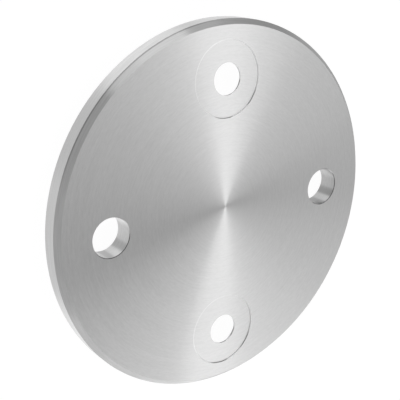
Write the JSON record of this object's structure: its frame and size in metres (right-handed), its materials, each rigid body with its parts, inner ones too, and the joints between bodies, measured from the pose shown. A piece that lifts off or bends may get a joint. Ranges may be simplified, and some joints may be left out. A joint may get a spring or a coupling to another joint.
{
  "type": "round flange plate",
  "caption": "Flat round mounting flange turned from brushed metal, with a chamfered rim, plain bolt holes, and spotfaced screw holes countersunk from the back.",
  "frame": {"origin": "centre of the flat back face", "axes": "+Z out of the finished front face; X through the two plain bolt holes; Y through the two screw holes"},
  "size_m": [0.1, 0.1, 0.0056],
  "materials": {
    "brushed_metal": "faced on a lathe, fine concentric brush lines on both faces, smoother rim and holes"
  },
  "bodies": {
    "root": {"flange_plate": "brushed_metal"}
  },
  "joints": []
}
